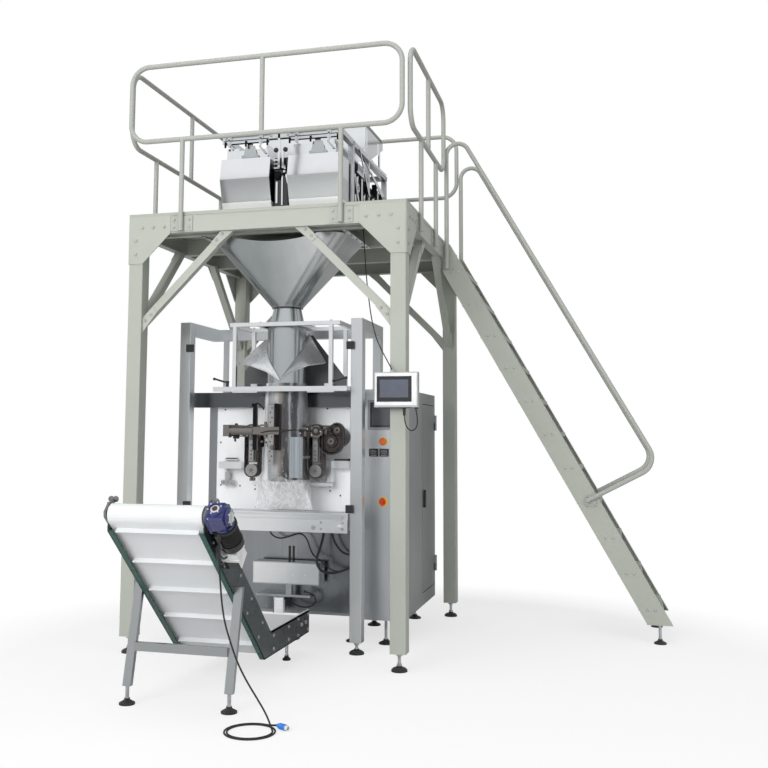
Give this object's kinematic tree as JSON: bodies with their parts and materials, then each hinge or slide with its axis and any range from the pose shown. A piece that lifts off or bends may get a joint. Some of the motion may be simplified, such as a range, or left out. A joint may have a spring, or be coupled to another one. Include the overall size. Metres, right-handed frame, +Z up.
{
  "type": "vertical form fill seal packing line",
  "caption": "Bag filling line: a stair platform carries a two-head weigher over a form fill seal machine with funnel, forming tube, sealing jaws, control cabinet and take-off conveyor.",
  "frame": {"origin": "middle of the footprint of all that stands on the floor, at floor level", "axes": "+X to the right as seen from the front, where the conveyor comes out, +Y to the back, +Z up"},
  "size_m": [3.5234, 3.4596, 3.9115],
  "materials": {
    "aluminium": "satin",
    "black_feet": "satin",
    "black_plastic": "satin",
    "blue_paint": "satin",
    "blue_plastic": "glossy",
    "brushed_steel": "brushed",
    "cable_black": "matte",
    "clear_film": "glossy",
    "clear_plastic": "glossy",
    "dark_rubber": "matte",
    "frame_paint": "satin",
    "green_plate": "satin",
    "mirror_steel": "polished",
    "pale_tube": "satin",
    "rail_paint": "satin",
    "red_plastic": "glossy",
    "satin_steel": "satin",
    "screen_glass": "glossy",
    "white_belt": "matte",
    "white_panel": "satin",
    "white_plastic": "satin",
    "yellow_plastic": "glossy"
  },
  "bodies": {
    "root": {"bag_support": "satin_steel", "belt_drives": "aluminium", "column_gussets": "frame_paint", "control_cabinet": "brushed_steel", "control_screen": "screen_glass", "conveyor_belt": "white_belt", "conveyor_cord": "cable_black", "conveyor_legs": "pale_tube", "conveyor_motor": "black_plastic", "conveyor_sides": "green_plate", "cord_plug": "blue_plastic", "deck_plate": "frame_paint", "discharge_funnel": "satin_steel", "feed_drives": "black_plastic", "feed_pans": "mirror_steel", "film_bag": "clear_film", "film_sleeve": "clear_film", "former_frame": "brushed_steel", "former_table": "brushed_steel", "forming_collar": "satin_steel", "forming_tube": "satin_steel", "front_fascia": "satin_steel", "front_panel": "white_panel", "funnel_spout": "satin_steel", "gear_motor": "blue_paint", "guardrails": "rail_paint", "hinge_blocks": "black_plastic", "infeed_hopper": "mirror_steel", "jaw_guides": "mirror_steel", "junction_box": "white_plastic", "levelling_feet": "black_feet", "machine_body": "brushed_steel", "machine_posts": "brushed_steel", "machine_top_frame": "brushed_steel", "main_switch": "yellow_plastic", "platform_beams": "frame_paint", "platform_braces": "frame_paint", "platform_columns": "frame_paint", "pull_belts": "dark_rubber", "rear_jaw": "aluminium", "sealer_cover": "clear_plastic", "stair_handrails": "rail_paint", "stair_stringers": "frame_paint", "stair_treads": "frame_paint", "stop_collar": "yellow_plastic", "temperature_controllers": "black_plastic", "vertical_sealer": "aluminium", "weigher_body": "brushed_steel", "weigher_cables": "cable_black", "weigher_covers": "mirror_steel", "weigher_frame": "brushed_steel", "weigher_screen": "white_plastic", "weigher_spine": "black_plastic"},
    "cabinet_door": {"cabinet_door": "brushed_steel", "door_handle": "black_plastic"},
    "front_jaw": {"front_jaw": "aluminium"},
    "switch_knob": {"switch_knob": "red_plastic"},
    "emergency_stop": {"emergency_stop": "red_plastic"}
  },
  "joints": [
    {"name": "cabinet_door_hinge", "type": "hinge", "parent": "root", "child": "cabinet_door", "pos_m": [0.02375, 1.53667, 0.9], "axis": [0, 0, 1], "range_deg": [0, 90]},
    {"name": "front_jaw_slide", "type": "slide", "parent": "root", "child": "front_jaw", "axis": [0, 1, 0], "range_m": [0, 0.09]},
    {"name": "switch_turn", "type": "hinge", "parent": "root", "child": "switch_knob", "pos_m": [-0.13075, 0.38267, 0.963], "axis": [0, 1, 0], "range_deg": [-90, 0]},
    {"name": "stop_push", "type": "slide", "parent": "root", "child": "emergency_stop", "axis": [0, 1, 0], "range_m": [0, 0.004]}
  ]
}
